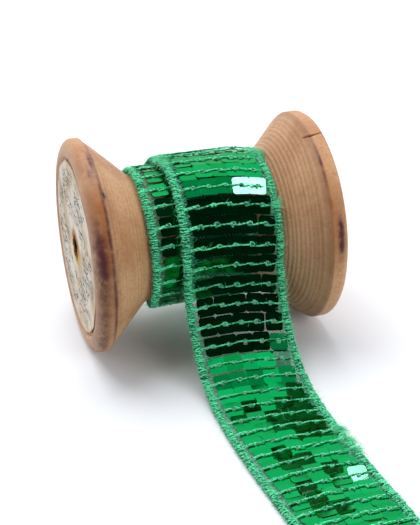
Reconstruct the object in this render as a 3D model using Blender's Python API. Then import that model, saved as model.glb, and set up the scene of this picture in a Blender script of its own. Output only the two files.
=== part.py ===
"""Sequin trim wound on a turned wooden spool, with its loose end laid out in front.

The spool lies on its two rims with its axis along X. The trim is one ribbon: its hidden start
lies on the hub, it winds round the hub a little over one and a half times, leaves the front of
the roll, falls to the surface and runs forward along -Y, where it ends in a plain cut.

Units are metres, +Z is up and the surface is z = 0. The origin is the middle of the bottom of
the whole object's box.
"""

import math
from bisect import bisect_right

import bmesh
import bpy
from mathutils import Vector

# Spool
FLANGE_RADIUS = 0.0275
SPOOL_HALF_LENGTH = 0.0321
HUB_RADIUS = 0.0165
HUB_HALF_LENGTH = 0.0166
BORE_RADIUS = 0.004
RIM_WIDTH = 0.0042
EDGE_ROUNDING = 0.0018
CHAMFER_LENGTH = 0.0013
CHAMFER_DROP = 0.0011
LEFT_LINE_DEPTH = 0.0003
LEFT_LINE_WIDTH = 0.0005
RECESS_DEPTH = 0.0008
RECESS_RADIUS = 0.0228
TURNED_GROOVES = 9
GROOVE_DEPTH = 0.00018
SPOOL_SEGMENTS = 60
ROUNDING_STEPS = 3

# Paper label, a thin disc in the recess of the left face
LABEL_RADIUS = 0.0222
LABEL_THICKNESS = 0.0003
LABEL_HOLE_RADIUS = 0.0044
LABEL_SEGMENTS = 40
SEAT_GAP = 0.0003

# Trim
TRIM_HALF_WIDTH = 0.0133
CORD_WIDTH = 0.0022
CORD_HEIGHT = 0.0015
CORD_EDGE_HEIGHT = 0.0006
NET_WIDTH = 0.0007
NET_HEIGHT = 0.0007
BAND_HEIGHT = 0.0010
ROW_RELIEF = 0.0005
ROW_PITCH = 0.0048
ROW_LEAN = 0.09
UNDERSIDE_INSET = 0.0003

# Where the ribbon leaves the roll, as an angle from the top of the hub towards the front
EXIT_DEGREES = 92.0

# How the ribbon lies on the hub, counted backwards from where it leaves the roll.
# Columns: wound angle in degrees, x of the ribbon's middle, radius of its underside.
WINDING = (
    (0.0, 0.0044, 0.0190),
    (100.0, 0.0044, 0.0190),
    (190.0, 0.0026, 0.0190),
    (228.0, 0.0010, 0.0190),
    (275.0, -0.0010, 0.0170),
    (335.0, -0.0029, 0.0170),
    (450.0, -0.0033, 0.0170),
    (570.0, -0.0033, 0.0170),
)

# The outer turn's right side sags where no turn lies under it. It sags between two places
# across X, and the sag fades out past the hidden start and along the loose end.
SAG_START_X = 0.0100
SAG_FULL_X = 0.0177
SAG_DEPTH = 0.00095
SAG_LAST_DEGREES = 228.0
SAG_FADE_DEGREES = 40.0
SAG_FADE_LENGTH = 0.012

# The loose end's underside, from the roll to the cut.
# Columns: x, distance in front of the spool's axis, height.
TAIL_ROUTE = (
    (0.0044, 0.0196, 0.0216),
    (0.0044, 0.0212, 0.0165),
    (0.0044, 0.0240, 0.0119),
    (0.0045, 0.0277, 0.0077),
    (0.0046, 0.0320, 0.0042),
    (0.0048, 0.0366, 0.0017),
    (0.0049, 0.0415, 0.0004),
    (0.0050, 0.0465, 0.0),
    (0.0053, 0.0540, 0.0),
    (0.0060, 0.0625, 0.0),
    (0.0070, 0.0710, 0.0),
    (0.0081, 0.0800, 0.0),
    (0.0095, 0.0905, 0.0),
    (0.0119, 0.1080, 0.0),
)
ROUTE_STEPS = 24
WINDING_STEP_DEGREES = 1.0
SHARP_DEGREES = 18.0

WOOD_COLOUR = (0.58, 0.38, 0.23, 1.0)
PAPER_COLOUR = (0.74, 0.68, 0.57, 1.0)
TRIM_COLOUR = (0.0, 0.30, 0.10, 1.0)


def clear_scene():
    """Remove every object that the file starts with."""
    for old in list(bpy.data.objects):
        bpy.data.objects.remove(old, do_unlink=True)


def material(name, colour, roughness, metallic=0.0):
    """Return a plain Principled material."""
    made = bpy.data.materials.new(name)
    made.use_nodes = True
    shader = made.node_tree.nodes["Principled BSDF"]
    shader.inputs["Base Color"].default_value = colour
    shader.inputs["Roughness"].default_value = roughness
    shader.inputs["Metallic"].default_value = metallic
    made.diffuse_color = colour
    return made


def smooth(value):
    """Ease a value from 0 to 1."""
    held = min(max(value, 0.0), 1.0)
    return held * held * (3.0 - 2.0 * held)


def looped_mesh(name, rings, around, finish):
    """Make a closed body from rings of points.

    around says that the last ring joins the first, as on a turned piece; otherwise the first
    and last rings are filled as ends.
    """
    build = bmesh.new()
    rows = [[build.verts.new(point) for point in ring] for ring in rings]
    pairs = list(zip(rows, rows[1:]))
    if around:
        pairs.append((rows[-1], rows[0]))
    for row, following in pairs:
        for here in range(len(row)):
            ahead = (here + 1) % len(row)
            build.faces.new((row[here], row[ahead], following[ahead], following[here]))
    if not around:
        build.faces.new(rows[0])
        build.faces.new(rows[-1])
        ends = [face for face in build.faces if len(face.verts) > 4]
        bmesh.ops.triangulate(build, faces=ends)
    bmesh.ops.recalc_face_normals(build, faces=build.faces)
    mesh = bpy.data.meshes.new(name)
    build.to_mesh(mesh)
    build.free()
    mesh.shade_smooth()
    mesh.set_sharp_from_angle(angle=math.radians(SHARP_DEGREES))
    mesh.materials.append(finish)
    piece = bpy.data.objects.new(name, mesh)
    bpy.context.scene.collection.objects.link(piece)
    return piece


def turned(name, outline, segments, finish):
    """Turn a closed outline of (x, radius) points about the X axis.

    The segments are placed so that one flat strip of each rim faces straight down.
    """
    rings = []
    for index in range(segments):
        angle = math.tau * (index + 0.5) / segments
        across, up = math.sin(angle), -math.cos(angle)
        rings.append([(x, radius * across, radius * up) for x, radius in outline])
    return looped_mesh(name, rings, True, finish)


def rounded_edge(side):
    """Return the rim's rounded outer edge, from its crown to its end face."""
    points = []
    for step in range(ROUNDING_STEPS + 1):
        turn = 0.5 * math.pi * step / ROUNDING_STEPS
        x = SPOOL_HALF_LENGTH - EDGE_ROUNDING * (1.0 - math.sin(turn))
        radius = FLANGE_RADIUS - EDGE_ROUNDING * (1.0 - math.cos(turn))
        points.append((side * x, radius))
    return points


def right_cone():
    """Return the right cone's side, with its fine turned grooves, from hub to rim."""
    start = (HUB_HALF_LENGTH, HUB_RADIUS)
    rim = SPOOL_HALF_LENGTH - RIM_WIDTH
    end = (rim - CHAMFER_LENGTH, FLANGE_RADIUS - CHAMFER_DROP)
    points = [start]
    for groove in range(TURNED_GROOVES):
        for share, depth in ((0.0, 0.0), (0.5, GROOVE_DEPTH)):
            along = (groove + 1.0 + share) / (TURNED_GROOVES + 1.5)
            x = start[0] + along * (end[0] - start[0])
            radius = start[1] + along * (end[1] - start[1]) - depth
            points.append((x, radius))
    points.append(end)
    points.append((rim, FLANGE_RADIUS))
    return points


def left_cone():
    """Return the left cone's side, from rim to hub, with the cut line beside the rim."""
    rim = -SPOOL_HALF_LENGTH + RIM_WIDTH
    foot = rim + LEFT_LINE_WIDTH
    return [
        (rim, FLANGE_RADIUS),
        (foot, FLANGE_RADIUS - LEFT_LINE_WIDTH - LEFT_LINE_DEPTH),
        (foot + CHAMFER_LENGTH, FLANGE_RADIUS - LEFT_LINE_WIDTH - CHAMFER_LENGTH),
        (-HUB_HALF_LENGTH, HUB_RADIUS),
    ]


def make_spool():
    """Make the spool: two rims, two cones, the hub, the label's recess and the bore."""
    floor = -SPOOL_HALF_LENGTH + RECESS_DEPTH
    outline = [
        (floor, BORE_RADIUS),
        (floor, RECESS_RADIUS),
        (-SPOOL_HALF_LENGTH, RECESS_RADIUS + RECESS_DEPTH),
    ]
    outline += list(reversed(rounded_edge(-1.0)))
    outline += left_cone()
    outline += right_cone()
    outline += rounded_edge(1.0)
    outline.append((SPOOL_HALF_LENGTH, BORE_RADIUS))
    finish = material("spool_wood", WOOD_COLOUR, 0.55)
    return turned("spool", outline, SPOOL_SEGMENTS, finish)


def make_label():
    """Make the paper disc that lies in the recess of the left face."""
    back = -SPOOL_HALF_LENGTH + RECESS_DEPTH - SEAT_GAP
    front = back - LABEL_THICKNESS
    outline = [
        (back, LABEL_HOLE_RADIUS),
        (back, LABEL_RADIUS),
        (front, LABEL_RADIUS),
        (front, LABEL_HOLE_RADIUS),
    ]
    finish = material("label_paper", PAPER_COLOUR, 0.85)
    return turned("end_label", outline, LABEL_SEGMENTS, finish)


def winding_at(degrees):
    """Return the ribbon's middle x and its underside's radius at a wound angle."""
    for row, following in zip(WINDING, WINDING[1:]):
        if degrees <= following[0]:
            share = smooth((degrees - row[0]) / (following[0] - row[0]))
            return [a + share * (b - a) for a, b in zip(row[1:], following[1:])]
    return list(WINDING[-1][1:])


def wound_route():
    """Return the underside's middle on the roll, from the hidden start to the exit.

    The spool's axis is y = 0, z = 0 here. Each entry is (point, wound angle).
    """
    last = WINDING[-1][0]
    count = round(last / WINDING_STEP_DEGREES)
    route = []
    for index in range(count + 1):
        wound = last * (1.0 - index / count)
        x, radius = winding_at(wound)
        angle = math.radians(EXIT_DEGREES - wound)
        point = Vector((x, -radius * math.sin(angle), radius * math.cos(angle)))
        route.append((point, wound))
    return route


def curve_through(points, steps):
    """Return points on a smooth curve through the given ones, each span cut in steps."""
    padded = [points[0] * 2.0 - points[1]] + points + [points[-1] * 2.0 - points[-2]]
    curve = []
    for before, start, end, after in zip(padded, padded[1:], padded[2:], padded[3:]):
        for step in range(steps):
            share = step / steps
            pull = 2.0 * start + share * (end - before)
            bend = share ** 2 * (2.0 * before - 5.0 * start + 4.0 * end - after)
            turn = share ** 3 * (3.0 * start - before - 3.0 * end + after)
            curve.append(0.5 * (pull + bend + turn))
    curve.append(points[-1].copy())
    return curve


class Ribbon:
    """The ribbon's underside as a route, with a point for any place on the ribbon."""

    def __init__(self, axis_height):
        """Lay the route: the turns on the hub and then the loose end."""
        wound = wound_route()
        tail = [Vector((x, -ahead, height - axis_height)) for x, ahead, height in TAIL_ROUTE]
        loose = curve_through([wound[-1][0]] + tail, ROUTE_STEPS)
        self.points = [point for point, _ in wound] + loose[1:]
        self.wound = [angle for _, angle in wound] + [0.0] * (len(loose) - 1)
        self.along = [0.0]
        for here, following in zip(self.points, self.points[1:]):
            self.along.append(self.along[-1] + (following - here).length)
        self.exit = self.along[len(wound) - 1]
        self.length = self.along[-1]
        self.floor = -axis_height

    def locate(self, distance):
        """Return the point, the running direction and the wound angle at a distance."""
        last = len(self.points) - 2
        index = min(max(bisect_right(self.along, distance) - 1, 0), last)
        span = self.along[index + 1] - self.along[index]
        share = (distance - self.along[index]) / span
        point = self.points[index].lerp(self.points[index + 1], share)
        behind = self.points[max(index - 2, 0)]
        ahead = self.points[min(index + 3, last + 1)]
        wound = self.wound[index] + share * (self.wound[index + 1] - self.wound[index])
        return point, (ahead - behind).normalized(), wound

    def place(self, distance, across, height):
        """Return the point that lies across and above the ribbon's underside."""
        leaned = distance + ROW_LEAN * across
        point, running, wound = self.locate(leaned)
        side = Vector((1.0, 0.0, 0.0))
        side = (side - running * running.dot(side)).normalized()
        outward = running.cross(side)
        place = point + side * across + outward * height
        place -= outward * self.sag(place.x, leaned, wound)
        place.z = max(place.z, self.floor)
        return place

    def sag(self, x, distance, wound):
        """Return how far the outer turn sinks at a given x."""
        depth = SAG_DEPTH * smooth((x - SAG_START_X) / (SAG_FULL_X - SAG_START_X))
        if distance > self.exit:
            return depth * (1.0 - smooth((distance - self.exit) / SAG_FADE_LENGTH))
        return depth * (1.0 - smooth((wound - SAG_LAST_DEGREES) / SAG_FADE_DEGREES))

    def stations(self):
        """Return the distances of each row's thread and mid-row, with a row at the exit."""
        spare = ROW_LEAN * TRIM_HALF_WIDTH
        rows_behind = int((self.exit - spare) / ROW_PITCH)
        rows_ahead = int((self.length - self.exit - spare) / ROW_PITCH)
        halves = range(-2 * rows_behind, 2 * rows_ahead + 1)
        return [(self.exit + 0.5 * half * ROW_PITCH, half % 2 == 0) for half in halves]


def cross_section(relief):
    """Return the ribbon's closed section as (across, height) points.

    It runs over the top from the left edge cord to the right one, and back underneath.
    """
    cord_middle = TRIM_HALF_WIDTH - 0.5 * CORD_WIDTH
    net = TRIM_HALF_WIDTH - CORD_WIDTH
    band = net - NET_WIDTH
    top = BAND_HEIGHT + relief
    right_side = [
        (0.5 * band, top),
        (band, top),
        (net, NET_HEIGHT),
        (cord_middle, CORD_HEIGHT),
        (TRIM_HALF_WIDTH, CORD_EDGE_HEIGHT),
        (TRIM_HALF_WIDTH - UNDERSIDE_INSET, 0.0),
    ]
    left_side = [(-across, height) for across, height in reversed(right_side)]
    underneath = [(band, 0.0), (0.0, 0.0), (-band, 0.0)]
    return left_side + [(0.0, top)] + right_side + underneath


def make_trim(axis_height):
    """Make the whole trim as one body, raised at each row's thread."""
    ribbon = Ribbon(axis_height)
    rings = []
    for distance, on_thread in ribbon.stations():
        section = cross_section(ROW_RELIEF if on_thread else 0.0)
        rings.append([ribbon.place(distance, across, height) for across, height in section])
    finish = material("trim_sequins", TRIM_COLOUR, 0.25, 0.8)
    return looped_mesh("sequin_trim", rings, False, finish)


def box_of(pieces):
    """Return the lowest and highest corners of some pieces' points."""
    points = [vertex.co for piece in pieces for vertex in piece.data.vertices]
    low = Vector([min(point[axis] for point in points) for axis in range(3)])
    high = Vector([max(point[axis] for point in points) for axis in range(3)])
    return low, high


def main():
    """Build the pieces about the spool's axis and stand them on the surface."""
    clear_scene()
    axis_height = FLANGE_RADIUS * math.cos(math.pi / SPOOL_SEGMENTS)
    pieces = [make_spool(), make_label(), make_trim(axis_height)]
    low, high = box_of(pieces)
    stand = bpy.data.objects.new("stand", None)
    stand.location = (-0.5 * (low.x + high.x), -0.5 * (low.y + high.y), axis_height)
    bpy.context.scene.collection.objects.link(stand)
    for piece in pieces:
        piece.parent = stand


main()
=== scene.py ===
"""Looks of a sequin trim that is wound on an old wooden thread spool.

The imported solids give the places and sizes. This file turns the spool finely, lays worn paper
on its end, and sews the trim along the route of its solid: a fine net ground, rows of five
sequins, the thread that holds each row, and an overcast cord along each edge.

Lengths in this file are in millimetres. Patchwork.build turns them into metres.
"""

from __future__ import annotations

import logging
import math
from dataclasses import dataclass, field
from enum import Enum

import bpy
import numpy as np
from mathutils import Matrix

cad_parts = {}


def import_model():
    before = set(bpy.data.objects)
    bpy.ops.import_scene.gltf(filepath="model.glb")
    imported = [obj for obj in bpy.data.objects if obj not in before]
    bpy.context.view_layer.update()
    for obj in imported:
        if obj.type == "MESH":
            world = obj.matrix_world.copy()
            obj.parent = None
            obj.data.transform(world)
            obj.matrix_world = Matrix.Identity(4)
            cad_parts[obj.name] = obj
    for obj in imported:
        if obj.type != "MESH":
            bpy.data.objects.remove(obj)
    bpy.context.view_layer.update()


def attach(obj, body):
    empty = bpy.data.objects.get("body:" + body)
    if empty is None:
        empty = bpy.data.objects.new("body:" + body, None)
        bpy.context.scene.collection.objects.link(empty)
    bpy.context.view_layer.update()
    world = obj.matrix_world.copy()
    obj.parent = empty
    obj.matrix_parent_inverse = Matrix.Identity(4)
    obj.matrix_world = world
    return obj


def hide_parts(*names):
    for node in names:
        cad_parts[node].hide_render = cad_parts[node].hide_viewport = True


LOG = logging.getLogger("sequin_trim")
MM = 0.001
BODY = "root"

Colour = tuple[float, float, float]
Place = tuple[float, float, float]
Profile = tuple[tuple[float, ...], tuple[float, ...]]

# The spool's axis, and how far from the trim's middle a row's bow is measured.
AXIS_Y = 38.791
AXIS_Z = 27.4623
BOW_REACH = 11.0


def smooth(value: np.ndarray) -> np.ndarray:
    """Ease values from 0 to 1."""
    held = np.clip(value, 0.0, 1.0)
    return held * held * (3.0 - 2.0 * held)


def unit(vectors: np.ndarray) -> np.ndarray:
    """Return vectors of length 1."""
    return vectors / np.maximum(np.linalg.norm(vectors, axis=-1, keepdims=True), 1e-9)


def curve_through(points: np.ndarray, steps: int) -> np.ndarray:
    """Return a Catmull-Rom curve through points.

    Args:
        points: Points that the curve passes, one row each.
        steps: Points of the curve between two of them.

    Returns:
        The curve's points.
    """
    padded = np.vstack([2 * points[0] - points[1], points, 2 * points[-1] - points[-2]])
    t = np.arange(steps)[:, None] / steps
    spans = []
    for a, b, c, d in zip(padded, padded[1:], padded[2:], padded[3:]):
        bend = 2 * a - 5 * b + 4 * c - d
        spans.append(0.5 * (2 * b + t * (c - a) + t**2 * bend + t**3 * (3 * b - a - 3 * c + d)))
    return np.vstack(spans + [padded[-2:-1]])


def quads_between(here: np.ndarray, ahead: np.ndarray, is_round: bool = True) -> np.ndarray:
    """Return faces between rows of point numbers.

    Args:
        here: Numbers of the first row's points, or of many such rows, along the last axis.
        ahead: Numbers of the next row's points, in the same order.
        is_round: Whether the last point of a row joins its first.

    Returns:
        Four point numbers for each face.
    """
    quads = np.stack([here, np.roll(here, -1, -1), np.roll(ahead, -1, -1), ahead], -1)
    return (quads if is_round else quads[..., :-1, :]).reshape(-1, 4)


def hand_over(piece: bpy.types.Object, replaced: str = "") -> bpy.types.Object:
    """Tie a piece to the body, and hide the CAD node that it stands for.

    Args:
        piece: The piece.
        replaced: The CAD node that it stands for, if it stands for one.

    Returns:
        The same piece.
    """
    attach(piece, BODY)
    if replaced:
        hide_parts(replaced)
    return piece


def across_path(paths: np.ndarray, beside: np.ndarray) -> tuple[np.ndarray, np.ndarray]:
    """Return two directions across paths, at right angles to each other.

    Args:
        paths: Points, as (path, step, axis).
        beside: Directions that are never along the paths, broadcast to them.

    Returns:
        The direction nearest to beside, and the one across both.
    """
    running = unit(np.gradient(paths, axis=1))
    first = unit(beside - running * np.sum(beside * running, axis=-1, keepdims=True))
    return first, np.cross(running, first)


@dataclass
class Patchwork:
    """Many small meshes that become one object, with numbers kept for each point."""

    name: str
    points: list[np.ndarray] = field(default_factory=list)
    faces: list[np.ndarray] = field(default_factory=list)
    values: dict[str, list[np.ndarray]] = field(default_factory=dict)
    count: int = 0

    def add(self, points: np.ndarray, faces: list[np.ndarray], **values: np.ndarray) -> None:
        """Add a mesh.

        Args:
            points: Its points, in millimetres.
            faces: Arrays of point numbers, each array with one count of corners.
            **values: Numbers for its points, by attribute.
        """
        self.points.append(points.reshape(-1, 3))
        self.faces += [block + self.count for block in faces]
        for key, value in values.items():
            flat = np.broadcast_to(value, points.shape[:-1]).ravel()
            self.values.setdefault(key, []).append(flat)
        self.count += len(self.points[-1])

    def build(self, finish: bpy.types.Material, is_smooth: bool = True) -> bpy.types.Object:
        """Make the object.

        Args:
            finish: Its material.
            is_smooth: Whether its faces are shaded smoothly.

        Returns:
            The object, in metres, linked to the scene.
        """
        mesh = bpy.data.meshes.new(self.name)
        points = np.vstack(self.points) * MM
        corners = np.concatenate([block.ravel() for block in self.faces])
        sizes = np.concatenate([np.full(len(block), block.shape[1]) for block in self.faces])
        starts = np.concatenate([[0], np.cumsum(sizes)[:-1]])
        mesh.vertices.add(len(points))
        mesh.vertices.foreach_set("co", points.ravel())
        mesh.loops.add(len(corners))
        mesh.loops.foreach_set("vertex_index", corners.astype(np.int32))
        mesh.polygons.add(len(sizes))
        mesh.polygons.foreach_set("loop_start", starts.astype(np.int32))
        mesh.update(calc_edges=True)
        mesh.validate()
        for key, blocks in self.values.items():
            layer = mesh.attributes.new(key, "FLOAT", "POINT")
            layer.data.foreach_set("value", np.concatenate(blocks).astype(np.float32))
        if is_smooth:
            mesh.shade_smooth()
        else:
            mesh.shade_flat()
        mesh.materials.append(finish)
        piece = bpy.data.objects.new(self.name, mesh)
        bpy.context.scene.collection.objects.link(piece)
        return piece


def add_tubes(
    work: Patchwork,
    paths: np.ndarray,
    radii: np.ndarray,
    beside: np.ndarray,
    sides: int,
    tone: np.ndarray,
) -> None:
    """Add round tubes along paths, closed at both ends.

    Args:
        work: What the tubes are added to.
        paths: Points, as (tube, step, axis).
        radii: Radius for each tube and step.
        beside: Directions that are never along the paths, broadcast to them.
        sides: Sides of each tube.
        tone: Tone of the yarn for each tube and step.
    """
    tubes, steps = paths.shape[:2]
    first, second = across_path(paths, beside)
    turn = math.tau * np.arange(sides)[:, None] / sides
    ring = first[:, :, None] * np.cos(turn) + second[:, :, None] * np.sin(turn)
    radii = np.broadcast_to(radii, (tubes, steps))
    points = paths[:, :, None] + ring * radii[:, :, None, None]
    number = np.arange(tubes * steps * sides).reshape(tubes, steps, sides)
    walls = quads_between(number[:, :-1], number[:, 1:])
    ends = np.vstack([number[:, 0, ::-1], number[:, -1]])
    tone = np.broadcast_to(tone, (tubes, steps))[:, :, None]
    work.add(points, [walls, ends], tone=np.broadcast_to(tone, number.shape))


def plied(
    paths: np.ndarray, beside: np.ndarray, radius: float, pitch: float, shift: np.ndarray
) -> tuple[np.ndarray, np.ndarray]:
    """Twist two plies round paths.

    Args:
        paths: Middles of the yarns, as (yarn, step, axis).
        beside: Directions that are never along the paths.
        radius: Distance of a ply's middle from the yarn's middle.
        pitch: Length of one full twist.
        shift: Twist at the start of each yarn, in turns.

    Returns:
        The plies' middles, as (yarn and ply, step, axis), and the directions for their tubes.
    """
    first, second = across_path(paths, beside)
    steps = np.linalg.norm(np.diff(paths, axis=1), axis=-1)
    gone = np.concatenate([np.zeros((len(paths), 1)), np.cumsum(steps, axis=1)], axis=1)
    strands = []
    for ply in range(2):
        turn = (math.tau * (gone / pitch + shift[:, None] + ply / 2))[..., None]
        strands.append(paths + radius * (first * np.cos(turn) + second * np.sin(turn)))
    sides = np.broadcast_to(beside, paths.shape)
    return np.concatenate(strands), np.concatenate([sides] * 2)


class Shader:
    """The node tree of one material, with short calls for adding to it."""

    def __init__(self, name: str) -> None:
        """Start a material with one Principled shader.

        Args:
            name: The material's name.
        """
        self.material = bpy.data.materials.new(name)
        self.material.use_nodes = True
        self.tree = self.material.node_tree
        self.surface = self.tree.nodes["Principled BSDF"]

    def add(self, kind: str, inputs: dict | None = None, **settings: object) -> bpy.types.Node:
        """Add a node.

        Args:
            kind: The node's type.
            inputs: Values or sockets for its inputs, by name or number.
            **settings: The node's own settings.

        Returns:
            The node.
        """
        node = self.tree.nodes.new(kind)
        for key, value in settings.items():
            setattr(node, key, value)
        for key, value in (inputs or {}).items():
            if isinstance(value, bpy.types.NodeSocket):
                self.tree.links.new(value, node.inputs[key])
            else:
                node.inputs[key].default_value = value
        return node

    def place(self) -> bpy.types.NodeSocket:
        """Return the object's own coordinates, in metres."""
        return self.add("ShaderNodeTexCoord").outputs["Object"]

    def kept(self, name: str) -> bpy.types.NodeSocket:
        """Return a number that the mesh keeps for each point."""
        return self.add("ShaderNodeAttribute", attribute_name=name).outputs["Fac"]

    def math(self, work: str, *numbers: object, is_held: bool = False) -> bpy.types.NodeSocket:
        """Return a sum, product or other operation on numbers."""
        inputs = dict(enumerate(numbers))
        return self.add("ShaderNodeMath", inputs, operation=work, use_clamp=is_held).outputs[0]

    def times(self, a: object, b: object, is_held: bool = False) -> bpy.types.NodeSocket:
        """Return the product of two numbers."""
        return self.math("MULTIPLY", a, b, is_held=is_held)

    def range(
        self, value: object, low: float, high: float, to_low: float = 0.0, to_high: float = 1.0
    ) -> bpy.types.NodeSocket:
        """Ease a value from one range to another.

        Args:
            value: The value.
            low: Where the first range starts.
            high: Where it ends.
            to_low: Where the second range starts.
            to_high: Where it ends.

        Returns:
            The eased value.
        """
        names = ("Value", "From Min", "From Max", "To Min", "To Max")
        inputs = dict(zip(names, (value, low, high, to_low, to_high)))
        node = self.add("ShaderNodeMapRange", inputs, interpolation_type="SMOOTHSTEP")
        return node.outputs["Result"]

    def noise(self, where: object, scale: float, detail: float = 2.0, rough: float = 0.5) -> object:
        """Return a noise between 0 and 1."""
        inputs = {"Vector": where, "Scale": scale, "Detail": detail, "Roughness": rough}
        return self.add("ShaderNodeTexNoise", inputs).outputs["Fac"]

    def stretch(self, where: object, scale: Colour) -> bpy.types.NodeSocket:
        """Return coordinates scaled along each axis."""
        return self.add("ShaderNodeMapping", {"Vector": where, "Scale": scale}).outputs[0]

    def streaks(self, where: object, scale: Colour, detail: float, rough: float) -> object:
        """Return a noise with its own scale along each axis."""
        return self.noise(self.stretch(where, scale), 1.0, detail, rough)

    def lay(self, factor: object, under: object, over: object) -> bpy.types.NodeSocket:
        """Lay one colour on another.

        Args:
            factor: How much of the upper colour shows.
            under: The lower colour.
            over: The upper colour.

        Returns:
            The mixed colour.
        """
        under, over = ((*c, 1.0) if isinstance(c, tuple) else c for c in (under, over))
        inputs = {0: factor, 6: under, 7: over}
        return self.add("ShaderNodeMix", inputs, data_type="RGBA").outputs[2]

    def bump(self, height: object, strength: float, distance: float) -> bpy.types.NodeSocket:
        """Return a normal from a height, in metres of distance."""
        inputs = {"Height": height, "Strength": strength, "Distance": distance}
        return self.add("ShaderNodeBump", inputs).outputs[0]

    def dress(self, **inputs: object) -> bpy.types.Material:
        """Set the Principled shader's inputs.

        Args:
            **inputs: Values or sockets by the input's name, with _ for each space.

        Returns:
            The material.
        """
        for key, value in inputs.items():
            socket = self.surface.inputs[key.replace("_", " ")]
            if isinstance(value, bpy.types.NodeSocket):
                self.tree.links.new(value, socket)
            elif isinstance(value, tuple) and len(value) == 3 and socket.type == "RGBA":
                socket.default_value = (*value, 1.0)
            else:
                socket.default_value = value
        return self.material


@dataclass(frozen=True)
class WoodFinish:
    """Old turned wood, with fine turning lines, short grain and staining, and with painted shade in
    its grooves, crack and bore, on the bare end's chamfer band and over the label end's rim.
    """

    pale: Colour = (0.585, 0.335, 0.175)
    mid: Colour = (0.43, 0.208, 0.095)
    # dark draws the turning lines and grain, and also the painted shade of the band and shade
    # marks.
    dark: Colour = (0.17, 0.070, 0.030)
    warm: Colour = (0.40, 0.135, 0.033)
    purple: Colour = (0.10, 0.022, 0.030)
    # This near black draws dark spots, and the painted shade inside the bore and in the label end's
    # incised line.
    grime_and_shade: Colour = (0.05, 0.025, 0.018)
    grey: Colour = (0.36, 0.255, 0.20)
    roughness: float = 0.52

    def material(self) -> bpy.types.Material:
        """Make the finish.

        Returns:
            The material.
        """
        s = Shader("spool_wood_turned")
        where = s.place()
        profile = s.kept("profile")
        line = s.add("ShaderNodeCombineXYZ", {"X": profile}).outputs[0]
        turned = s.noise(line, 1.5, 3.0, 0.75)
        grain = s.streaks(where, (170.0, 1300.0, 1300.0), 2.0, 0.6)
        pores = s.streaks(where, (600.0, 1900.0, 1900.0), 2.0, 0.5)
        cloud = s.noise(where, 75.0, 3.0, 0.55)
        colour = s.lay(s.range(cloud, 0.35, 0.68), self.pale, self.mid)
        cone = s.kept("cone")
        for lines, on_rim, on_cone in (
            (s.range(turned, 0.44, 0.64), 0.12, 0.36),
            (s.range(grain, 0.42, 0.72), 0.10, 0.22),
        ):
            amount = s.times(lines, s.range(cone, 0.0, 1.0, on_rim, on_cone))
            colour = s.lay(amount, colour, self.dark)
        colour = s.lay(s.times(s.range(pores, 0.56, 0.66), 0.30), colour, self.pale)
        # The band mark is painted shade: a dark ring on the bare end's chamfer and a line along its
        # rim's inner corner, laid without the breakup noise.
        colour = s.lay(s.kept("band"), colour, self.dark)
        rim = s.range(cone, 0.0, 1.0, 0.38, 0.0)
        speckle = s.streaks(where, (1500.0, 1100.0, 1100.0), 2.0, 0.6)
        for low, high, speck in ((0.50, 0.62, self.mid), (0.57, 0.66, self.warm)):
            colour = s.lay(s.times(s.range(speckle, low, high), rim), colour, speck)
        breakup = s.math("MULTIPLY_ADD", s.noise(where, 420.0, 4.0, 0.65), 1.3, -0.15)
        # The shade marks, and the dark inside the bore and in the label end's incised line, are
        # painted shade; grey, warm, purple and the dark spot are the wood's own staining.
        for key, stain_and_shade, top in (
            ("grey", self.grey, 0.75),
            ("warm", self.warm, 0.85),
            ("shade", self.dark, 0.85),
            ("purple", self.purple, 0.92),
            ("grime_and_shade", self.grime_and_shade, 0.95),
        ):
            amount = s.times(s.times(s.kept(key), breakup, True), top * 1.5, True)
            colour = s.lay(amount, colour, stain_and_shade)
        cut = s.range(cone, 0.0, 1.0, 0.15, 0.7)
        normal = s.bump(s.math("MULTIPLY_ADD", turned, cut, s.times(grain, 0.5)), 0.55, 0.00012)
        rough = s.range(grain, 0.3, 0.8, self.roughness - 0.06, self.roughness + 0.12)
        return s.dress(Base_Color=colour, Roughness=rough, Normal=normal, Specular_IOR_Level=0.38)


@dataclass(frozen=True)
class PaperFinish:
    """Old paper, rubbed and mottled, with a painted shadow line along its outer edge."""

    cream: Colour = (0.50, 0.40, 0.28)
    white: Colour = (0.66, 0.60, 0.52)
    yellow: Colour = (0.52, 0.34, 0.10)
    ink: Colour = (0.05, 0.065, 0.09)
    # brown draws the stain round the hole, and the painted shadow line along the edges.
    brown: Colour = (0.34, 0.14, 0.03)

    def material(self) -> bpy.types.Material:
        """Make the finish.

        Returns:
            The material.
        """
        s = Shader("label_paper_worn")
        where = s.place()
        cloud = s.noise(where, 130.0, 3.0, 0.6)
        scuff = s.streaks(where, (300.0, 110.0, 330.0), 4.0, 0.7)
        specks = s.streaks(where, (900.0, 190.0, 560.0), 2.0, 0.6)
        colour = s.lay(s.range(cloud, 0.35, 0.62), self.cream, self.white)
        colour = s.lay(s.times(s.range(scuff, 0.48, 0.68), 0.40), colour, self.yellow)
        curls = s.math("ABSOLUTE", s.math("SUBTRACT", specks, 0.5))
        lines = s.range(curls, 0.014, 0.045, 1.0, 0.0)
        patches = s.streaks(where, (150.0, 70.0, 150.0), 2.0, 0.6)
        marks = s.times(lines, s.range(patches, 0.38, 0.50))
        wash = s.times(s.range(patches, 0.50, 0.72), 0.28)
        marks = s.times(s.math("MAXIMUM", marks, wash), s.kept("band"))
        colour = s.lay(s.times(marks, 0.92), colour, self.ink)
        torn = s.times(s.kept("torn"), s.range(scuff, 0.25, 0.55))
        colour = s.lay(torn, colour, s.lay(s.kept("upper"), self.yellow, self.brown))
        # Brown along the outer edge is a painted shadow where the paper meets its recess; the same
        # brown also runs along the torn hole's edge.
        colour = s.lay(s.times(s.kept("edge"), 0.8), colour, self.brown)
        normal = s.bump(s.math("ADD", scuff, specks), 0.8, 0.00015)
        return s.dress(Base_Color=colour, Roughness=0.85, Normal=normal, Specular_IOR_Level=0.25)


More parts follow.
